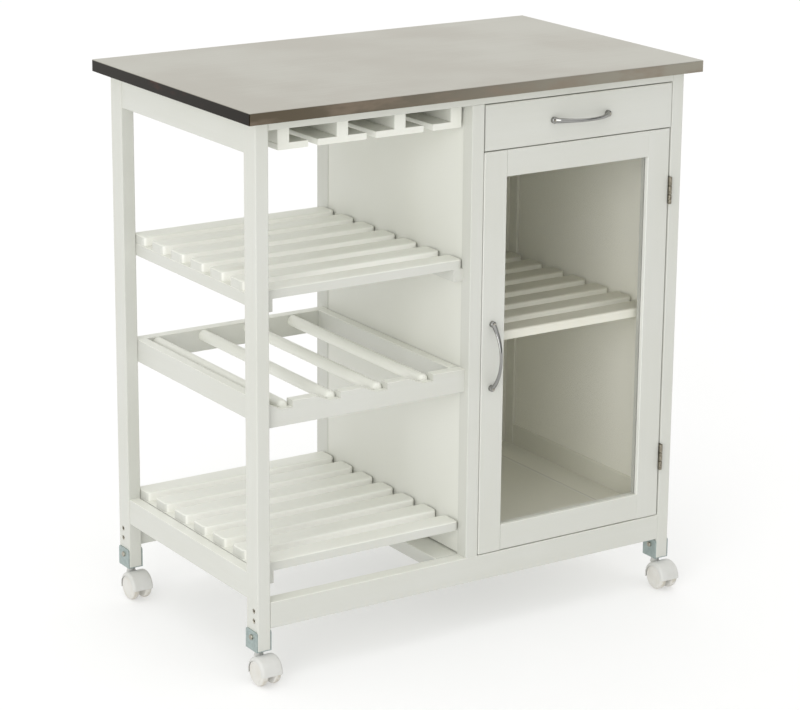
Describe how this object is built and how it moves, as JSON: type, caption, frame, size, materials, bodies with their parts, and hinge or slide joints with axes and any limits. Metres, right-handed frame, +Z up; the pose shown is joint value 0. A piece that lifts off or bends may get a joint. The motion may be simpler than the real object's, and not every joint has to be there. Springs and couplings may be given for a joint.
{
  "type": "kitchen cart",
  "caption": "White wooden kitchen cart on casters with a steel worktop, open slatted shelves, a bottle rack, a drawer and a glass-door cabinet.",
  "frame": {"origin": "on the floor under the middle of the whole cart", "axes": "+X to the user's right when facing the cart, -Y to the front where the drawer opens, +Z up"},
  "size_m": [0.67, 0.406, 0.72],
  "materials": {
    "painted_wood": "satin off-white paint",
    "core_board": "raw chipboard",
    "steel_top": "brushed",
    "chrome": "polished",
    "clear_glass": "clear",
    "hinge_steel": "dull plated",
    "zinc_steel": "zinc plated",
    "fastener_steel": "plated",
    "hood_nylon": "moulded white",
    "wheel_nylon": "moulded white",
    "white_plastic": "moulded white"
  },
  "bodies": {
    "frame": {"worktop_core": "core_board", "worktop_skin": "steel_top", "front_posts": "painted_wood", "back_posts": "painted_wood", "top_rail_front": "painted_wood", "top_rail_back": "painted_wood", "top_side_rails": "painted_wood", "bottom_rail_front": "painted_wood", "bottom_rail_back": "painted_wood", "bottom_side_rails": "painted_wood", "bottom_rail_middle": "painted_wood", "divider_panel": "painted_wood", "divider_stile_front": "painted_wood", "divider_stile_back": "painted_wood", "cabinet_side_panel": "painted_wood", "cabinet_back_panel": "painted_wood", "cabinet_floor": "painted_wood", "upper_shelf_slats": "painted_wood", "lower_shelf_slats": "painted_wood", "cabinet_shelf_slats": "painted_wood", "shelf_bearers": "painted_wood", "bottle_rack_front_rail": "painted_wood", "bottle_rack_back_rail": "painted_wood", "bottle_rack_side_boards": "painted_wood", "bottle_rack_rods": "painted_wood", "stem_rail_webs": "painted_wood", "stem_rail_feet": "painted_wood", "drawer_runners": "painted_wood", "hinge_frame_leaves": "hinge_steel", "hinge_pins": "hinge_steel", "door_catch": "white_plastic", "caster_brackets": "zinc_steel", "caster_stems": "zinc_steel", "frame_fasteners": "fastener_steel"},
    "drawer": {"drawer_front": "painted_wood", "drawer_sides": "painted_wood", "drawer_back": "painted_wood", "drawer_bottom": "painted_wood", "drawer_handle": "chrome", "drawer_handle_screws": "fastener_steel"},
    "door": {"door_stiles": "painted_wood", "door_rails": "painted_wood", "door_glass": "clear_glass", "door_beads": "painted_wood", "door_handle": "chrome", "door_handle_screws": "fastener_steel", "hinge_door_leaves": "hinge_steel", "door_catch_plate": "zinc_steel"},
    "caster_front_left": {"caster_hood_front_left": "hood_nylon"},
    "wheel_front_left_a": {"wheel_front_left_a": "wheel_nylon"},
    "wheel_front_left_b": {"wheel_front_left_b": "wheel_nylon"},
    "caster_front_right": {"caster_hood_front_right": "hood_nylon"},
    "wheel_front_right_a": {"wheel_front_right_a": "wheel_nylon"},
    "wheel_front_right_b": {"wheel_front_right_b": "wheel_nylon"},
    "caster_back_left": {"caster_hood_back_left": "hood_nylon"},
    "wheel_back_left_a": {"wheel_back_left_a": "wheel_nylon"},
    "wheel_back_left_b": {"wheel_back_left_b": "wheel_nylon"},
    "caster_back_right": {"caster_hood_back_right": "hood_nylon"},
    "wheel_back_right_a": {"wheel_back_right_a": "wheel_nylon"},
    "wheel_back_right_b": {"wheel_back_right_b": "wheel_nylon"}
  },
  "joints": [
    {"name": "drawer_slide", "type": "slide", "parent": "frame", "child": "drawer", "axis": [0, -1, 0], "range_m": [0, 0.22]},
    {"name": "door_hinge", "type": "hinge", "parent": "frame", "child": "door", "pos_m": [0.2988, -0.1828, 0.36875], "axis": [0, 0, 1], "range_deg": [0, 165]},
    {"name": "swivel_front_left", "type": "hinge", "parent": "frame", "child": "caster_front_left", "pos_m": [-0.309, -0.166, 0.039], "axis": [0, 0, 1], "continuous": true},
    {"name": "spin_wheel_front_left_a", "type": "hinge", "parent": "caster_front_left", "child": "wheel_front_left_a", "pos_m": [-0.31875, -0.182, 0.0175], "axis": [1, 0, 0], "continuous": true},
    {"name": "spin_wheel_front_left_b", "type": "hinge", "parent": "caster_front_left", "child": "wheel_front_left_b", "pos_m": [-0.29925, -0.182, 0.0175], "axis": [1, 0, 0], "continuous": true},
    {"name": "swivel_front_right", "type": "hinge", "parent": "frame", "child": "caster_front_right", "pos_m": [0.309, -0.166, 0.039], "axis": [0, 0, 1], "continuous": true},
    {"name": "spin_wheel_front_right_a", "type": "hinge", "parent": "caster_front_right", "child": "wheel_front_right_a", "pos_m": [0.29925, -0.182, 0.0175], "axis": [1, 0, 0], "continuous": true},
    {"name": "spin_wheel_front_right_b", "type": "hinge", "parent": "caster_front_right", "child": "wheel_front_right_b", "pos_m": [0.31875, -0.182, 0.0175], "axis": [1, 0, 0], "continuous": true},
    {"name": "swivel_back_left", "type": "hinge", "parent": "frame", "child": "caster_back_left", "pos_m": [-0.309, 0.172, 0.039], "axis": [0, 0, 1], "continuous": true},
    {"name": "spin_wheel_back_left_a", "type": "hinge", "parent": "caster_back_left", "child": "wheel_back_left_a", "pos_m": [-0.31875, 0.156, 0.0175], "axis": [1, 0, 0], "continuous": true},
    {"name": "spin_wheel_back_left_b", "type": "hinge", "parent": "caster_back_left", "child": "wheel_back_left_b", "pos_m": [-0.29925, 0.156, 0.0175], "axis": [1, 0, 0], "continuous": true},
    {"name": "swivel_back_right", "type": "hinge", "parent": "frame", "child": "caster_back_right", "pos_m": [0.309, 0.172, 0.039], "axis": [0, 0, 1], "continuous": true},
    {"name": "spin_wheel_back_right_a", "type": "hinge", "parent": "caster_back_right", "child": "wheel_back_right_a", "pos_m": [0.29925, 0.156, 0.0175], "axis": [1, 0, 0], "continuous": true},
    {"name": "spin_wheel_back_right_b", "type": "hinge", "parent": "caster_back_right", "child": "wheel_back_right_b", "pos_m": [0.31875, 0.156, 0.0175], "axis": [1, 0, 0], "continuous": true}
  ]
}
